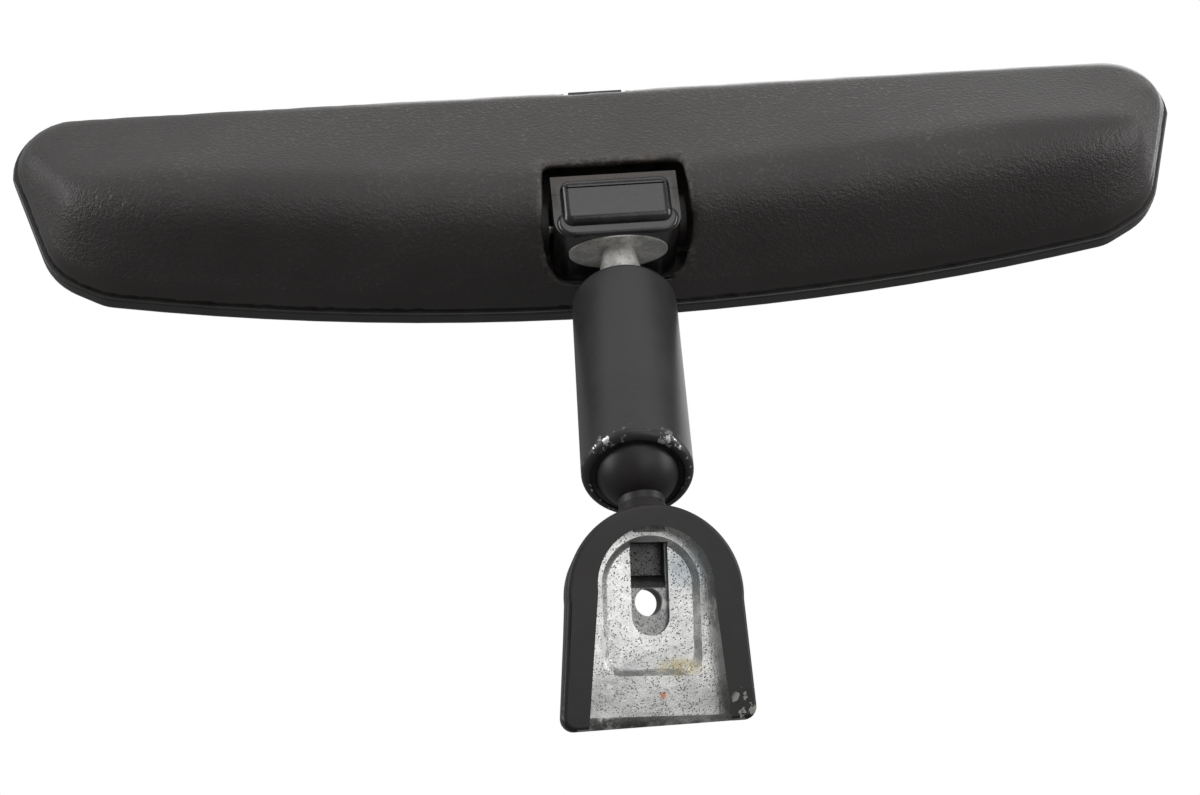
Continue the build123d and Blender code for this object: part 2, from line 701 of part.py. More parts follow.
def make_carrier():
    middle = (CARRIER_TOP_W + CARRIER_BOTTOM_W) / 2
    plate = Pos(0, middle) * Rectangle(2 * CARRIER_HALF, CARRIER_TOP_W - CARRIER_BOTTOM_W)
    plate = fillet(plate.vertices(), 6.0)
    window_middle = (WINDOW_TOP_W + WINDOW_BOTTOM_W) / 2
    window = Pos(0, window_middle) * Rectangle(2 * WINDOW_HALF, WINDOW_TOP_W - WINDOW_BOTTOM_W)
    body = Pos(0, 0, CARRIER_DEPTH) * extrude(plate - window, CARRIER_THICKNESS)
    for side in (-1, 1):
        x = side * (EAR_INNER + EAR_THICKNESS / 2)
        height = EAR_TOP_DEPTH - CARRIER_DEPTH
        ear = Pos(x, PIN_W, CARRIER_DEPTH + height / 2) * Box(EAR_THICKNESS, EAR_WIDTH, height)
        body = body + fillet(ear.edges().filter_by(Axis.X).group_by(Axis.Z)[-1], 3.5)
        lug_x = side * (LEVER_PIN_HALF - 1.1)
        lug_w = (LEVER_W + CARRIER_BOTTOM_W) / 2
        lug = Box(1.6, CARRIER_BOTTOM_W - LEVER_W + 3.2, LUG_HEIGHT)
        body = body + Pos(lug_x, lug_w, CARRIER_DEPTH + LUG_HEIGHT / 2) * lug
    on_plane = (Align.CENTER, Align.CENTER, Align.MIN)
    sink = Cone(SCREW_HEAD / 2 + 0.05, SCREW_DIAMETER / 2 + 0.05, CARRIER_THICKNESS, align=on_plane)
    for x, w in screw_places():
        body = body - Pos(x, w, CARRIER_DEPTH) * sink
    pin = tube_along((-40, PIN_W, PIN_DEPTH), (1, 0, 0), PIN_DIAMETER / 2 + PIN_GAP, 80)
    lever_pin = tube_along((-40, LEVER_W, LEVER_DEPTH), (1, 0, 0), LEVER_PIN_DIAMETER / 2 + 0.02, 80)
    return HEAD * (body - pin - lever_pin)


def make_screw(x, w):
    on_plane = (Align.CENTER, Align.CENTER, Align.MIN)
    head = Cone(SCREW_HEAD / 2, SCREW_DIAMETER / 2, CARRIER_THICKNESS - 0.05, align=on_plane)
    head = Pos(x, w, CARRIER_DEPTH + 0.05) * head
    shank = Pos(x, w, CARRIER_DEPTH + 0.5) * post(SCREW_DIAMETER / 2, SCREW_LENGTH - 1.2)
    slot = Pos(x, w, CARRIER_DEPTH) * Box(0.8, 3.2, 1.0) + Pos(x, w, CARRIER_DEPTH) * Box(3.2, 0.8, 1.0)
    return HEAD * (head + shank - slot)


# ================================================================ toggle lever
def make_lever():
    hub = tube_along((-LEVER_HALF, LEVER_W, LEVER_DEPTH), (1, 0, 0), LEVER_HUB / 2, 2 * LEVER_HALF)
    lean = Rot(LEVER_ARM_TILT, 0, 0) * (Pos(0, LEVER_ARM / 2, 0) * Box(7.0, LEVER_ARM, 1.4))
    arm = Pos(0, LEVER_W, LEVER_DEPTH) * lean
    low_w = TAB_TOP_W - TAB_THICKNESS
    bend = LEVER_DEPTH - TAB_SETBACK
    profile = make_face(
        Polyline(
            (LEVER_W - 0.6, LEVER_DEPTH + 1.0),
            (LEVER_W - 2.8, LEVER_DEPTH - 0.4),
            (TAB_TOP_W + 0.35, bend),
            (low_w, bend),
            (low_w, TAB_FRONT),
            (TAB_TOP_W, TAB_FRONT),
            (TAB_TOP_W, bend - TAB_THICKNESS),
            (LEVER_W - 2.6, LEVER_DEPTH - 1.6),
            (LEVER_W - 0.6, LEVER_DEPTH - 1.2),
            close=True,
        )
    )
    tab = extrude(Plane.YZ * profile, LEVER_HALF, both=True)
    tab = fillet(tab.edges().filter_by(Axis.Y).group_by(Axis.Z)[0], 3.0)
    hole = tube_along((-40, LEVER_W, LEVER_DEPTH), (1, 0, 0), LEVER_PIN_DIAMETER / 2 + 0.05, 80)
    return HEAD * (hub + arm + tab - hole)


def make_lever_pin():
    start = (-LEVER_PIN_HALF, LEVER_W, LEVER_DEPTH)
    return HEAD * tube_along(start, (1, 0, 0), LEVER_PIN_DIAMETER / 2, 2 * LEVER_PIN_HALF)


def make_detent_spring():
    """Leaf spring riveted under the carrier plate, its free end resting behind the lever arm."""
    low = CARRIER_DEPTH + CARRIER_THICKNESS + 0.05
    rise_height = 3.6
    foot = Pos(0, CARRIER_BOTTOM_W + 3.0, low + SPRING_STRIP / 2) * Box(2 * SPRING_HALF, 6.0, SPRING_STRIP)
    rise = Box(2 * SPRING_HALF, SPRING_STRIP, rise_height)
    rise = Pos(0, CARRIER_BOTTOM_W + 0.2, low + rise_height / 2) * rise
    tongue_depth = low + rise_height - SPRING_STRIP / 2
    tongue = Pos(0, CARRIER_BOTTOM_W - 0.7, tongue_depth) * Box(2 * SPRING_HALF, 2.2, SPRING_STRIP)
    return HEAD * (foot + rise + tongue)


if __name__ == "__main__":
    save("mount_foot", make_foot())
    save("arm_tube", make_tube())
    save("lower_seat_ring", ARM * seat_ring())
    save("upper_seat_ring", at_head_end(seat_ring()))
    save("lower_ball_cup", ARM * ball_cup())
    save("upper_ball_cup", at_head_end(ball_cup()))
    save("lower_spring_washer", ARM * spring_washer())
    save("upper_spring_washer", at_head_end(spring_washer()))
    save("arm_spring", make_spring())
    save("ball_stud", make_stud())
    save("stud_retainer", make_retainer())
    save("pivot_block", make_block())
    save("pivot_pin", make_pin())
    save("stop_pad", make_stop_pad())
    save("rear_shell", make_shell())
    save("front_bezel", make_bezel())
    save("mirror_glass", make_glass())
    save("glass_backing", make_backing())
    save("carrier_plate", make_carrier())
    names = ("left_low", "left_high", "right_low", "right_high")
    for (x, w), name in zip(screw_places(), names):
        save("carrier_screw_" + name, make_screw(x, w))
    save("toggle_lever", make_lever())
    save("lever_pin", make_lever_pin())
    save("detent_spring", make_detent_spring())
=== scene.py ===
import bpy
import bmesh
import math
from mathutils import Matrix, Vector


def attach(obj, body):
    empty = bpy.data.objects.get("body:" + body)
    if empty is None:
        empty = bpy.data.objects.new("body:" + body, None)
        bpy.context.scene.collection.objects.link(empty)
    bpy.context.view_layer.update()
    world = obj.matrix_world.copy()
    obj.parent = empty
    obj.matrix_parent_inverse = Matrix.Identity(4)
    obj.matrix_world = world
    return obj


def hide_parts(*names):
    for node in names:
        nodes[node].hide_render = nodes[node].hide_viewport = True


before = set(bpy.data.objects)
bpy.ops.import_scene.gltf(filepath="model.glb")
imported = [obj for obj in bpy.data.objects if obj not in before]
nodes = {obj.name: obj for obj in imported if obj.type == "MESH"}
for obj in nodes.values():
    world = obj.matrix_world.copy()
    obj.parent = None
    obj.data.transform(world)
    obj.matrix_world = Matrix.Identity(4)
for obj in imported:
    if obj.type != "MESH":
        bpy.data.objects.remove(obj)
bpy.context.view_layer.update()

# ---------------------------------------------------------------- rear shell
# Back of the case: one injection moulding in charcoal plastic with a fine moulded grain, smooth
# along its rims. The carrier's screws hold it; the opening's edge is dusty from handling.


class Sh:
    """One shader value. Arithmetic on it adds Math nodes to its tree."""

    def __init__(self, tree, socket):
        self.tree, self.socket = tree, socket

    def plug(self, value, target):
        if isinstance(value, Sh):
            self.tree.links.new(value.socket, target)
        else:
            target.default_value = value

    def node(self, kind, out=0, ins=None, **props):
        made = self.tree.nodes.new(kind)
        for key, value in props.items():
            setattr(made, key, value)
        for key, value in (ins or {}).items():
            self.plug(value, made.inputs[key])
        return Sh(self.tree, made.outputs[out])

    def math(self, operation, *values):
        made = self.tree.nodes.new("ShaderNodeMath")
        made.operation = operation
        for value, target in zip((self,) + values, made.inputs):
            self.plug(value, target)
        return Sh(self.tree, made.outputs[0])

    def __add__(self, other): return self.math("ADD", other)
    def __radd__(self, other): return self.math("ADD", other)
    def __sub__(self, other): return self.math("SUBTRACT", other)
    def __rsub__(self, other): return (self * -1.0).math("ADD", other)
    def __mul__(self, other): return self.math("MULTIPLY", other)
    def __rmul__(self, other): return self.math("MULTIPLY", other)
    def __abs__(self): return self.math("ABSOLUTE")
    def most(self, other): return self.math("MAXIMUM", other)

    def ramp(self, low, high):
        """0 at low, 1 at high, smooth between. low may be the larger."""
        ins = {"Value": self, "From Min": low, "From Max": high}
        return self.node("ShaderNodeMapRange", ins=ins, interpolation_type="SMOOTHSTEP")

    def noise(self, scale, detail=3.0, rough=0.55):
        """Noise over a position, scale in cycles per metre, about 0.3 to 0.7."""
        ins = {"Vector": self, "Scale": scale, "Detail": detail, "Roughness": rough, "Distortion": 0.0}
        return self.node("ShaderNodeTexNoise", ins=ins)

    def cells(self, scale):
        """Distance to the nearest of scattered points, in cells."""
        return self.node("ShaderNodeTexVoronoi", ins={"Vector": self, "Scale": scale}, feature="F1")

    def stretched(self, factors):
        return self.node("ShaderNodeVectorMath", ins={0: self, 1: factors}, operation="MULTIPLY")

    def along(self, origin, axis):
        """Distance of a position from origin along an axis."""
        moved = self.node("ShaderNodeVectorMath", ins={0: self, 1: origin}, operation="SUBTRACT")
        return moved.node("ShaderNodeVectorMath", out=1, ins={0: moved, 1: axis}, operation="DOT_PRODUCT")

    def away(self, origin):
        """Distance of a position from a point."""
        return self.node("ShaderNodeVectorMath", out=1, ins={0: self, 1: origin}, operation="DISTANCE")

    def mix(self, a, b):
        """Colour a where this is 0, b where it is 1."""
        made = self.tree.nodes.new("ShaderNodeMix")
        made.data_type = "RGBA"
        self.plug(self, made.inputs[0])
        self.plug(a, made.inputs[6])
        self.plug(b, made.inputs[7])
        return Sh(self.tree, made.outputs[2])

    def bump(self, distance, strength):
        return self.node("ShaderNodeBump", ins={"Height": self, "Distance": distance, "Strength": strength})


def new_material(name, **uniform):
    """A Principled material with its uniform values set; returns it, its position value and its plug."""
    made = bpy.data.materials.new(name)
    made.use_nodes = True
    tree = made.node_tree
    shader = tree.nodes["Principled BSDF"]
    for key, value in uniform.items():
        shader.inputs[key.replace("_", " ")].default_value = value
    spot = Sh(tree, tree.nodes.new("ShaderNodeTexCoord").outputs["Object"])

    def feed_shader(**values):
        for key, value in values.items():
            spot.plug(value, shader.inputs[key.replace("_", " ")])
    return made, spot, feed_shader


def dress(material, *names, smooth=None):
    """Puts a material on CAD pieces; smooth is the edge angle in degrees up to which they shade smooth."""
    for name in names:
        mesh = nodes[name].data
        mesh.materials.clear()
        mesh.materials.append(material)
        if smooth is not None:
            mesh.shade_smooth()
            mesh.set_sharp_from_angle(angle=math.radians(smooth))


# The case's own axes, from the middle of its opening: across, out of its back and up its height.
HEAD = Vector((0.009455, -0.066013, -0.094074))
HEAD_X = Vector((0.987843, 0.149502, -0.0426))
HEAD_BACK = Vector((-0.154995, 0.926215, -0.34366))
HEAD_UP = Vector((-0.011921, 0.346085, 0.938128))
CHARCOAL_DARK, CHARCOAL_LIGHT = (0.0215, 0.0186, 0.0177, 1), (0.0320, 0.0280, 0.0268, 1)
PAINTED_GRAIN_SHEEN = (0.105, 0.096, 0.092, 1)
SILL_DUST = (0.105, 0.088, 0.070, 1)
SCUFF_BLACK = (0.004, 0.004, 0.004, 1)
SCUFF_SPOT = HEAD - HEAD_X * 0.0985 + HEAD_UP * 0.004 + HEAD_BACK * 0.022
OPENING_HALF, OPENING_LOW, OPENING_HIGH = 0.0158, -0.0060, 0.0200

mat, place, feed = new_material("shell_plastic", Specular_IOR_Level=0.5)
depth = place.along(HEAD, HEAD_BACK)
height = place.along(HEAD, HEAD_UP)
across = place.along(HEAD, HEAD_X)
grain = place.noise(1150.0, 2.0)
fine = place.noise(2600.0, 1.0, 0.5)
patch = place.noise(34.0, 4.0)
smooth_rim = depth.ramp(0.0105, 0.0085)
speck = (grain * 0.6 + fine * 0.4).ramp(0.54, 0.66) * patch.ramp(0.34, 0.60)
# Painted sheen: the grain's speckles are lightened, more on the panel below the crest, where the light
# falls.
lit_panel = (height + abs(across) * 0.06).ramp(0.010, 0.000)
tone = patch.ramp(0.3, 0.7).mix(CHARCOAL_DARK, CHARCOAL_LIGHT)
tone = (speck * (lit_panel * 0.42 + 0.26) * (1.0 - smooth_rim)).mix(tone, PAINTED_GRAIN_SHEEN)
sill = (abs(across) - OPENING_HALF).ramp(0.0016, 0.0002) * (height - OPENING_LOW).ramp(-0.0002, 0.0010)
sill = sill * height.ramp(OPENING_HIGH, 0.0178)
dust = sill * place.noise(700.0, 4.0, 0.65).ramp(0.44, 0.60) * depth.ramp(0.010, 0.016)
tone = (dust * 0.45).mix(tone, SILL_DUST)
tone = (place.away(SCUFF_SPOT).ramp(0.0012, 0.0004) * 0.7).mix(tone, SCUFF_BLACK)
feed(Base_Color=tone, Roughness=patch * 0.12 + speck * -0.12 + smooth_rim * -0.22 + 0.44,
     Normal=((grain * 0.7 + fine * 0.5) * (1.0 - smooth_rim * 0.9)).bump(0.00042, 0.80))
dress(mat, "rear_shell")

# The moulding has no hard corners behind its rim, so its mesh is evened out and relaxed there, and
# its front edge is tucked into the bezel, where the bezel covers the joint.
SKIN_VOXEL = 0.00085
RIM_KEPT, RIM_FADE = 0.0065, 0.003
OPENING_CLEAR_HALF, OPENING_CLEAR_LOW, OPENING_CLEAR_HIGH, OPENING_FADE = 0.0175, -0.0060, 0.0205, 0.005
TUCK_BAND, TUCK_DEPTH, TUCK_ACROSS, TUCK_UP = 0.0007, 0.0015, 0.006, 0.020

skin = nodes["rear_shell"].copy()
skin.data = nodes["rear_shell"].data.copy()
skin.name = "rear_shell_skin"
bpy.context.scene.collection.objects.link(skin)
shell = bmesh.new()
shell.from_mesh(skin.data)
bmesh.ops.remove_doubles(shell, verts=shell.verts, dist=0.000001)
front = min((vertex.co - HEAD).dot(HEAD_BACK) for vertex in shell.verts)
shell.to_mesh(skin.data)
shell.free()
even = skin.modifiers.new("even", "REMESH")
even.mode = "VOXEL"
even.voxel_size = SKIN_VOXEL
bpy.context.view_layer.update()
skin.data = bpy.data.meshes.new_from_object(skin.evaluated_get(bpy.context.evaluated_depsgraph_get()))
skin.modifiers.clear()
loose = skin.vertex_groups.new(name="loose")
for vertex in skin.data.vertices:
    offset = vertex.co - HEAD
    back, aside, rise = offset.dot(HEAD_BACK), offset.dot(HEAD_X), offset.dot(HEAD_UP)
    if back < front + TUCK_BAND:
        inward = HEAD_X * aside * TUCK_ACROSS + HEAD_UP * rise * TUCK_UP
        vertex.co -= HEAD_BACK * (back - front + TUCK_DEPTH) + inward
    clear = max(abs(aside) - OPENING_CLEAR_HALF, rise - OPENING_CLEAR_HIGH, OPENING_CLEAR_LOW - rise)
    behind = min(1.0, max(0.0, (back - RIM_KEPT) / RIM_FADE))
    loose.add([vertex.index], behind * min(1.0, max(0.02, clear / OPENING_FADE)), "REPLACE")
relax = skin.modifiers.new("relax", "SMOOTH")
relax.factor, relax.iterations, relax.vertex_group = 0.5, 110, "loose"
settle = skin.modifiers.new("settle", "SMOOTH")
settle.factor, settle.iterations = 0.5, 6
skin.data.shade_smooth()
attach(skin, "case")
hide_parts("rear_shell")
skin.data.materials.clear()
skin.data.materials.append(mat)

# ---------------------------------------------------------------- front bezel
# Rim round the glass: a separate smooth black moulding snapped over the shell's front edge.
BEZEL_DARK, BEZEL_LIGHT = (0.014, 0.0133, 0.013, 1), (0.024, 0.0225, 0.0215, 1)

mat, place, feed = new_material("bezel_plastic", Specular_IOR_Level=0.5)
wear = place.noise(160.0, 4.0, 0.6)
feed(Base_Color=wear.ramp(0.35, 0.7).mix(BEZEL_DARK, BEZEL_LIGHT), Roughness=wear * 0.16 + 0.28,
     Normal=place.noise(2400.0, 2.0).bump(0.00005, 0.35))
dress(mat, "front_bezel", smooth=35)

# ---------------------------------------------------------------- mirror glass
# Prismatic glass, silvered on its back, held by the bezel's lip. Faint wipe marks and dust.
SILVER_DULL, SILVER_CLEAN = (0.80, 0.825, 0.83, 1), (0.86, 0.88, 0.885, 1)

mat, place, feed = new_material("glass_mirror", Metallic=1.0)
wipe = place.stretched((14.0, 60.0, 60.0)).noise(1.4, 4.0, 0.6)
glass_dust = place.noise(900.0, 2.0).ramp(0.66, 0.74)
feed(Base_Color=wipe.ramp(0.3, 0.7).mix(SILVER_DULL, SILVER_CLEAN),
     Roughness=wipe.ramp(0.45, 0.8) * 0.035 + glass_dust * 0.12 + 0.015)
dress(mat, "mirror_glass")

# ---------------------------------------------------------------- pivot block
# Day/night block that carries the stud: a glossy black moulding, dusty along its ledge, with a fine
# parting groove across its face whose shade is painted in as a black line.
BLOCK_DARK, BLOCK_LIGHT = (0.0120, 0.0112, 0.0126, 1), (0.0240, 0.0222, 0.0242, 1)
LEDGE_DUST = (0.085, 0.070, 0.058, 1)
GROOVE_PAINTED_SHADE = (0.001, 0.001, 0.001, 1)
GROOVE_HEIGHT = 0.0036

mat, place, feed = new_material("block_plastic", Specular_IOR_Level=0.5)
depth = place.along(HEAD, HEAD_BACK)
height = place.along(HEAD, HEAD_UP)
across = place.along(HEAD, HEAD_X)
smear = place.noise(240.0, 4.0, 0.6)
flanks = abs(across).ramp(0.0119, 0.0127) * height.ramp(0.0085, 0.0050)
ledge = height.ramp(0.0016, 0.0004).most(flanks) * depth.ramp(0.0215, 0.0240) * depth.ramp(0.0258, 0.0248)
ledge = ledge * place.noise(2200.0, 4.0, 0.7).ramp(0.30, 0.62)
# Painted shade: a black line where the fine groove crosses the face.
groove_shade = abs(height - GROOVE_HEIGHT).ramp(0.00024, 0.00012)
tone = smear.ramp(0.35, 0.7).mix(BLOCK_DARK, BLOCK_LIGHT)
tone = (ledge * 0.8).mix(tone, LEDGE_DUST)
feed(Base_Color=groove_shade.mix(tone, GROOVE_PAINTED_SHADE), Roughness=smear * 0.16 + ledge * 0.35 + 0.14,
     Normal=place.noise(500.0, 2.0).bump(0.00008, 0.35))
dress(mat, "pivot_block", smooth=35)

# ---------------------------------------------------------------- ball stud
# Zinc die casting: an oval plate flush in the block, a neck and the ball held in the tube.
STUD_DARK, STUD_LIGHT, STUD_PIT = (0.38, 0.375, 0.36, 1), (0.62, 0.61, 0.585, 1), (0.13, 0.13, 0.125, 1)

mat, place, feed = new_material("zinc_stud")
blotch = place.noise(330.0, 4.0, 0.62)
pits = place.noise(1500.0, 3.0, 0.7).ramp(0.56, 0.66)
tone = blotch.ramp(0.36, 0.66).mix(STUD_DARK, STUD_LIGHT)
feed(Base_Color=(pits * 0.6).mix(tone, STUD_PIT), Metallic=blotch * 0.3 + 0.55,
     Roughness=blotch * 0.35 + 0.30 + pits * 0.2,
     Normal=(blotch * 0.6 + pits * -0.5).bump(0.00018, 0.5))
dress(mat, "ball_stud", smooth=40)

# ---------------------------------------------------------------- arm tube
# Steel tube painted satin black, its ends rolled over the seat rings; the paint is chipped to bare
# metal round the lower mouth.
LOWER_BALL = Vector((0.0, -0.0071, -0.0368))
ARM = Vector((0.130526, -0.665974, -0.734467))
PAINT_DARK, PAINT_LIGHT = (0.0125, 0.0125, 0.013, 1), (0.021, 0.0205, 0.0205, 1)
BARE_STEEL = (0.55, 0.55, 0.54, 1)

mat, place, feed = new_material("tube_paint", Specular_IOR_Level=0.5)
peel = place.noise(520.0, 2.0, 0.5)
rub = place.noise(75.0, 4.0, 0.6)
mouth = place.along(LOWER_BALL, ARM).ramp(0.0004, -0.0022)
chip = (place.noise(640.0, 4.0, 0.7) + place.noise(170.0, 2.0) * 0.5).ramp(0.845, 0.875) * mouth
tone = rub.ramp(0.3, 0.75).mix(PAINT_DARK, PAINT_LIGHT)
feed(Base_Color=chip.mix(tone, BARE_STEEL), Metallic=chip, Roughness=rub * 0.14 + 0.36 - chip * 0.1,
     Normal=(peel - chip * 0.8).bump(0.00012, 0.35))
dress(mat, "arm_tube", smooth=40)

# ---------------------------------------------------------------- seat rings
# Thin moulded nylon rings between ball and rolled lip, glossy with grease.
NYLON_DARK, NYLON_LIGHT = (0.006, 0.006, 0.0065, 1), (0.014, 0.0135, 0.013, 1)

mat, place, feed = new_material("seat_nylon", Specular_IOR_Level=0.6)
grease = place.noise(700.0, 3.0, 0.6)
feed(Base_Color=grease.ramp(0.4, 0.7).mix(NYLON_DARK, NYLON_LIGHT), Roughness=grease * 0.2 + 0.08,
     Normal=grease.bump(0.0001, 0.5))
dress(mat, "lower_seat_ring", "upper_seat_ring", smooth=35)

# ---------------------------------------------------------------- foot
# Zinc die casting with the lower ball in one piece, painted satin black all over and then bare in
# the channel, where the windscreen button slid; the lips are rubbed and one corner is gouged.
MOUTH_Z, MOUTH_HALF, FLANK_SLOPE = 0.0136, 0.0160, 0.0929
ARCH_CENTRE, ARCH_RADIUS = (0.0, 0.0, -0.0128), 0.0135
ZINC_DARK, ZINC_LIGHT, ZINC_BRIGHT = (0.42, 0.425, 0.42, 1), (0.70, 0.70, 0.685, 1), (0.92, 0.92, 0.91, 1)
ZINC_PIT, ZINC_TOWARD_MOUTH, WALL_SHADE = (0.06, 0.06, 0.055, 1), (0.22, 0.215, 0.205, 1), (0.13, 0.135, 0.13, 1)
SLOT_GREY, POCKET_DARK, GRIME = (0.17, 0.172, 0.17, 1), (0.018, 0.02, 0.018, 1), (0.035, 0.035, 0.032, 1)
OIL_YELLOW, FILM_BLUE, RUST = (0.52, 0.42, 0.16, 1), (0.24, 0.29, 0.33, 1), (0.42, 0.13, 0.04, 1)
CHALK_AND_GLINT_WHITE = (0.90, 0.90, 0.88, 1)
FOOT_DARK, FOOT_LIGHT = (0.0095, 0.0080, 0.0078, 1), (0.0165, 0.0140, 0.0135, 1)
GOUGE_BLACK, FLAKE_METAL = (0.004, 0.004, 0.004, 1), (0.33, 0.33, 0.31, 1)
STAIN_SPOT, FILM_SPOT, RUST_SPOT = (0.0022, 0.0, 0.0026), (0.0074, 0.001, -0.0165), (0.0016, 0.001, 0.0078)
GOUGE_SPOT = (0.0172, 0.0054, 0.0100)
# Chalky residue of the old bond: streaked areas (middle, radius); broken painted highlights on the mouth's
# bevel (middle, radius) and one solid painted glint on a burr by the hole.
CHALK_STREAKS = (((-0.0108, 0.001, -0.0025), 0.0050), ((0.0122, 0.001, -0.0070), 0.0065))
MOUTH_GLINT_SPOTS = (((-0.0097, 0.0006, 0.0120), 0.0022), ((0.0108, 0.0006, 0.0108), 0.0016))
BURR_GLINT = (0.0028, -0.0014, -0.0096)

mat, place, feed = new_material("foot_paint", Specular_IOR_Level=0.4)
x, y, z = [place.along((0, 0, 0), axis) for axis in ((1, 0, 0), (0, 1, 0), (0, 0, 1))]
side = abs(x)

# Where the channel is bare: inside its flanks and arch, between its bed and the lips' faces.
flank = MOUTH_HALF - (MOUTH_Z - z) * FLANK_SLOPE
round_end = place.stretched((1.0, 0.0, 1.0)).away(ARCH_CENTRE)
in_arch = (ARCH_RADIUS - round_end).ramp(-0.0001, 0.0002)
inside = (flank - side).ramp(-0.0002, 0.0001) * z.ramp(-0.0132, -0.0124).most(in_arch)
bed = y.ramp(-0.0026, -0.0022).most(z.ramp(-0.0120, -0.0140) * y.ramp(-0.0046, -0.0042))
inside = inside * bed * y.ramp(0.0053, 0.0050)

# Bare zinc: cloudy, pitted, shaded in the recess walls, slot and pocket.
worn = place.noise(420.0, 4.0, 0.65)
clouds = place.noise(105.0, 4.0, 0.6)
pits = place.cells(2300.0).ramp(0.36, 0.16) * place.noise(700.0, 3.0).ramp(0.40, 0.56)
pits = pits * clouds.ramp(0.24, 0.46)
scratch = place.stretched((1.0, 1.0, 0.12)).noise(1500.0, 3.0, 0.6)
zinc = clouds.ramp(0.34, 0.66).mix(ZINC_DARK, ZINC_LIGHT)
zinc = (worn.ramp(0.48, 0.7) * 0.6).mix(zinc, ZINC_BRIGHT)
zinc = (pits * 0.60).mix(zinc, ZINC_PIT)
# Bare zinc made darker towards the mouth.
zinc = (z.ramp(0.0020, 0.0105) * 0.45).mix(zinc, ZINC_TOWARD_MOUTH)
wall = y.ramp(0.0001, 0.0003) * y.ramp(0.00098, 0.0008)
zinc = (wall * x.ramp(0.002, -0.004) * 0.55).mix(zinc, WALL_SHADE)
slot = side.ramp(0.0040, 0.0037) * y.ramp(-0.0002, -0.0008)
zinc = (slot * 0.75).mix(zinc, SLOT_GREY)
pocket = slot * y.ramp(-0.0016, -0.0030) * z.ramp(-0.0128, -0.0155)
zinc = (pocket * 0.85).mix(zinc, POCKET_DARK)

# Marks in the channel: oil, bluish film, a rust spot, chalk, painted highlights and a painted glint, and
# grime along the mouth.
stain = place.stretched((0.42, 0.0, 1.0)).away(STAIN_SPOT).ramp(0.0026, 0.0006) * worn.ramp(0.36, 0.52)
zinc = (stain * 0.6).mix(zinc, OIL_YELLOW)
zinc = (place.away(FILM_SPOT).ramp(0.0062, 0.0015) * 0.5).mix(zinc, FILM_BLUE)
rust = place.away(RUST_SPOT).ramp(0.0010, 0.0002) * worn.ramp(0.35, 0.5)
zinc = (rust * 0.8).mix(zinc, RUST)
left_streak, right_streak = [place.away(middle).ramp(radius, 0.001) for middle, radius in CHALK_STREAKS]
streaky = place.stretched((1.0, 1.0, 0.4)).noise(650.0, 4.0, 0.7).ramp(0.48, 0.58)
chalk_and_glints = left_streak.most(right_streak) * streaky
# Painted highlights on the mouth's bevel and a painted glint on the burr by the hole are added to the
# chalk's white.
for middle, radius in MOUTH_GLINT_SPOTS:
    chalk_and_glints = chalk_and_glints.most(place.away(middle).ramp(radius, 0.0004) * worn.ramp(0.40, 0.55))
chalk_and_glints = chalk_and_glints.most(place.away(BURR_GLINT).ramp(0.0012, 0.0004))
zinc = (chalk_and_glints * 0.9).mix(zinc, CHALK_AND_GLINT_WHITE)
grime = z.ramp(0.0114, 0.0134) * y.ramp(0.0012, 0.0006) * worn.ramp(0.62, 0.42)
zinc = (grime * 0.85).mix(zinc, GRIME)

# Paint outside: rubbed through along the left edge, flaking in the gouged corner.
paint = place.noise(60.0, 3.0, 0.6).ramp(0.3, 0.7).mix(FOOT_DARK, FOOT_LIGHT)
gouge = place.away(GOUGE_SPOT).ramp(0.0040, 0.0030)
flake = place.noise(620.0, 3.0, 0.6).ramp(0.53, 0.56)
nick = side.ramp(0.0183, 0.0190) * z.ramp(-0.010, 0.000) * place.noise(800.0, 4.0, 0.7).ramp(0.53, 0.58)
nick = nick * y.ramp(0.0042, 0.0050)
paint = (gouge * 0.6).mix(paint, GOUGE_BLACK)
paint = ((gouge * flake).most(nick) * 0.75).mix(paint, FLAKE_METAL)

bare_metal = (0.85 - chalk_and_glints * 0.8 - pits * 0.4 - stain * 0.3 - grime * 0.5).most(0.0)
bare_relief = worn * 0.55 + scratch * 0.35 - pits * 0.6
paint_relief = place.noise(900.0) * 0.12 - gouge * flake * 0.9
feed(Base_Color=inside.mix(paint, zinc), Metallic=inside * bare_metal,
     Roughness=inside * (worn * 0.5 + 0.12 + chalk_and_glints * 0.25) + (1.0 - inside) * (clouds * 0.16 + 0.38),
     Normal=(inside * bare_relief + (1.0 - inside) * paint_relief).bump(0.00030, 0.6))
dress(mat, "mount_foot", smooth=38)

# ---------------------------------------------------------------- carrier plate
# Grey-brown glass-filled nylon plate behind the glass; its two ears hold the pivot pin.
CARRIER_DARK, CARRIER_LIGHT = (0.085, 0.078, 0.070, 1), (0.15, 0.138, 0.122, 1)

mat, place, feed = new_material("carrier_plastic")
flow = place.noise(130.0, 4.0, 0.6)
feed(Base_Color=flow.ramp(0.3, 0.7).mix(CARRIER_DARK, CARRIER_LIGHT), Roughness=flow * 0.2 + 0.5,
     Normal=place.noise(1500.0, 2.0).bump(0.0001, 0.4))
dress(mat, "carrier_plate", smooth=35)

# ---------------------------------------------------------------- toggle lever
# Day/night tab under the case: glossy black moulding, rubbed dull at its tip.
LEVER_DARK, LEVER_LIGHT = (0.010, 0.010, 0.0105, 1), (0.020, 0.0195, 0.019, 1)

mat, place, feed = new_material("lever_plastic", Specular_IOR_Level=0.5)
rub = place.noise(420.0, 4.0, 0.6)
feed(Base_Color=rub.ramp(0.35, 0.7).mix(LEVER_DARK, LEVER_LIGHT), Roughness=rub * 0.2 + 0.2,
     Normal=rub.bump(0.00005, 0.4))
dress(mat, "toggle_lever", smooth=35)

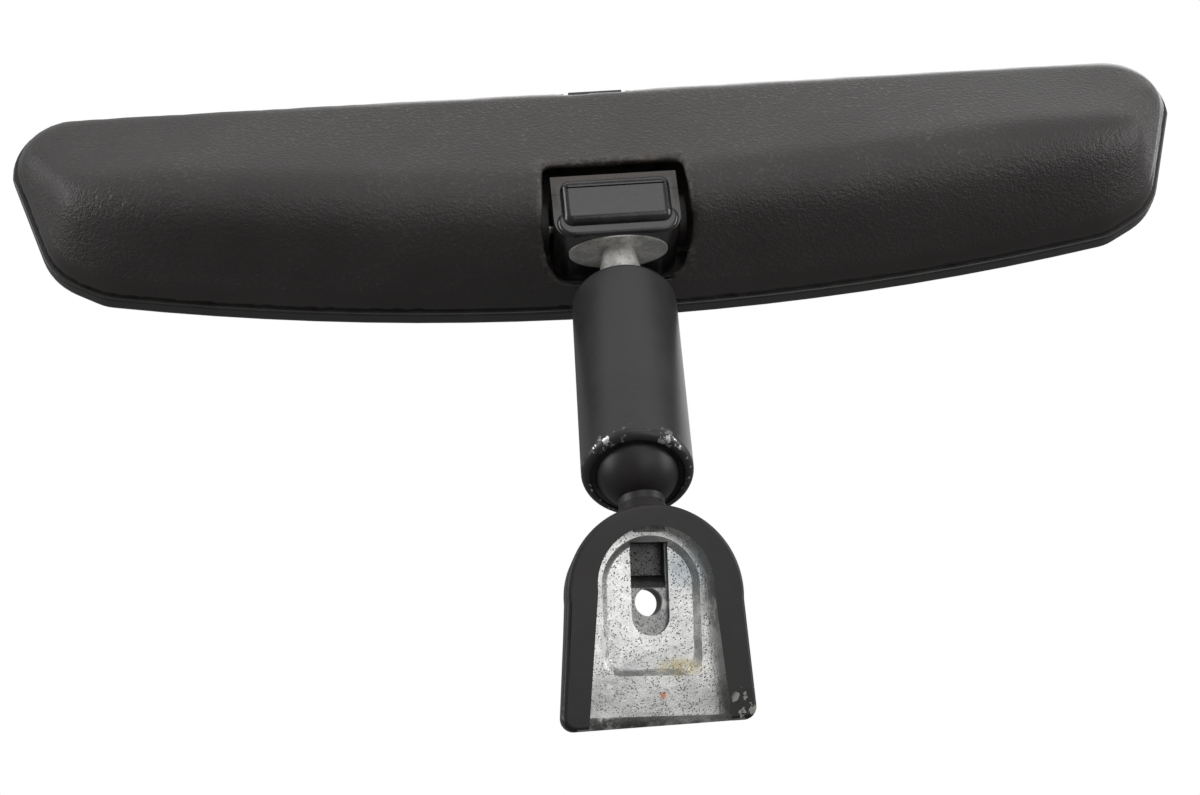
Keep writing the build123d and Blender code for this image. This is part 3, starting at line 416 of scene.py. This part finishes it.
# ---------------------------------------------------------------- steel pieces
# Pins, washers, screws and retainer are ground or stamped steel; the springs are oiled wire and
# strip. All are hidden in the case or the tube.
STEEL_DARK, STEEL_LIGHT = (0.46, 0.46, 0.465, 1), (0.60, 0.60, 0.60, 1)
SPRING_DARK, SPRING_LIGHT = (0.26, 0.255, 0.25, 1), (0.42, 0.415, 0.41, 1)

mat, place, feed = new_material("pin_steel", Metallic=1.0)
lay = place.stretched((1.0, 1.0, 0.15)).noise(2200.0, 3.0, 0.6)
feed(Base_Color=lay.ramp(0.35, 0.7).mix(STEEL_DARK, STEEL_LIGHT), Roughness=lay * 0.25 + 0.2,
     Normal=lay.bump(0.00003, 0.4))
dress(mat, "pivot_pin", "lever_pin", "stud_retainer", "lower_spring_washer", "upper_spring_washer",
      "carrier_screw_left_low", "carrier_screw_left_high", "carrier_screw_right_low",
      "carrier_screw_right_high", smooth=35)
mat, place, feed = new_material("spring_steel", Metallic=1.0)
oil = place.noise(500.0, 3.0, 0.6)
feed(Base_Color=oil.ramp(0.35, 0.7).mix(SPRING_DARK, SPRING_LIGHT), Roughness=oil * 0.3 + 0.2)
dress(mat, "arm_spring", "detent_spring", smooth=35)

# ---------------------------------------------------------------- cups, pad and backing
# Natural acetal cups behind the balls, a soft stop pad under the block and dark film on the glass.
ACETAL_DARK, ACETAL_LIGHT = (0.50, 0.48, 0.43, 1), (0.66, 0.64, 0.58, 1)
RUBBER_DARK, RUBBER_LIGHT = (0.012, 0.012, 0.012, 1), (0.03, 0.03, 0.029, 1)
BACKING_DARK, BACKING_LIGHT = (0.05, 0.05, 0.05, 1), (0.09, 0.09, 0.088, 1)

mat, place, feed = new_material("cup_acetal")
cloud = place.noise(220.0, 3.0, 0.6)
feed(Base_Color=cloud.ramp(0.3, 0.7).mix(ACETAL_DARK, ACETAL_LIGHT), Roughness=cloud * 0.2 + 0.35)
dress(mat, "lower_ball_cup", "upper_ball_cup", smooth=35)
mat, place, feed = new_material("pad_rubber")
bloom = place.noise(600.0, 3.0, 0.6)
feed(Base_Color=bloom.ramp(0.3, 0.7).mix(RUBBER_DARK, RUBBER_LIGHT), Roughness=bloom * 0.2 + 0.65,
     Normal=bloom.bump(0.0001, 0.5))
dress(mat, "stop_pad")
mat, place, feed = new_material("backing_film")
wrinkle = place.noise(90.0, 4.0, 0.6)
feed(Base_Color=wrinkle.ramp(0.3, 0.7).mix(BACKING_DARK, BACKING_LIGHT), Roughness=wrinkle * 0.3 + 0.4,
     Normal=wrinkle.bump(0.0003, 0.5))
dress(mat, "glass_backing")

# ---------------------------------------------------------------- camera, light and room
# The camera looks at the open face of the foot, with the mirror beyond it, in a plain white room
# lit by softboxes.
CAMERA_PLACE = (-0.1172, 0.4805, 0.0171)
LIT_MIDDLE = Vector((0.0, -0.035, -0.07))
# Name, direction (right, up, towards the camera), distance, size and power of each softbox.
SOFTBOXES = (
    ("far", (0.0, 1.0, -0.30), 0.8, (1.3, 0.4), 1.1),
    ("high", (0.07, 0.83, 0.56), 0.8, (0.5, 0.3), 1.0),
    ("key", (0.42, 0.30, 0.87), 0.9, (0.5, 0.5), 1.5),
    ("edge", (-1.0, 0.30, 0.15), 0.9, (0.30, 0.7), 4.0),
    ("rim", (1.0, 0.30, 0.10), 0.9, (0.30, 0.7), 3.6),
    ("front", (0.3, 0.4, -1.0), 1.1, (0.9, 0.9), 4.0),
)

camera_data = bpy.data.cameras.new("camera")
camera_data.lens = 77.7
camera_data.sensor_width = 36.0
camera = bpy.data.objects.new("camera", camera_data)
bpy.context.scene.collection.objects.link(camera)
view = Vector((0.2186, -0.9666, -0.1336)).normalized()
right = Vector((0.9758, 0.2162, 0.0324)).normalized()
up = right.cross(view).normalized()
right = view.cross(up).normalized()
turn = Matrix((right, up, -view)).transposed().to_4x4()
camera.matrix_world = Matrix.Translation(CAMERA_PLACE) @ turn
bpy.context.scene.camera = camera

for name, direction, distance, size, power in SOFTBOXES:
    data = bpy.data.lights.new(name, "AREA")
    data.shape = "RECTANGLE"
    data.size, data.size_y = size
    data.energy = power
    lamp = bpy.data.objects.new(name, data)
    bpy.context.scene.collection.objects.link(lamp)
    away = (right * direction[0] + up * direction[1] - view * direction[2]).normalized()
    lamp.location = LIT_MIDDLE + away * distance
    lamp.rotation_euler = (-away).to_track_quat("-Z", "Y").to_euler()
    lamp.visible_camera = False

# The room is grey to the pieces, lighter overhead, and white to the camera.
world = bpy.data.worlds.new("world")
bpy.context.scene.world = world
world.use_nodes = True
tree = world.node_tree
sky = Sh(tree, tree.nodes.new("ShaderNodeTexCoord").outputs["Generated"])
seen = Sh(tree, tree.nodes.new("ShaderNodeLightPath").outputs["Is Camera Ray"])
shade = sky.along((0, 0, 0), up).ramp(-0.6, 1.0) * 0.30 + 0.20
grey = shade.node("ShaderNodeCombineColor", ins={0: shade, 1: shade, 2: shade})
sky.plug(seen.mix(grey, (1.0, 1.0, 1.0, 1)), tree.nodes["Background"].inputs["Color"])
bpy.context.scene.view_settings.view_transform = "Standard"
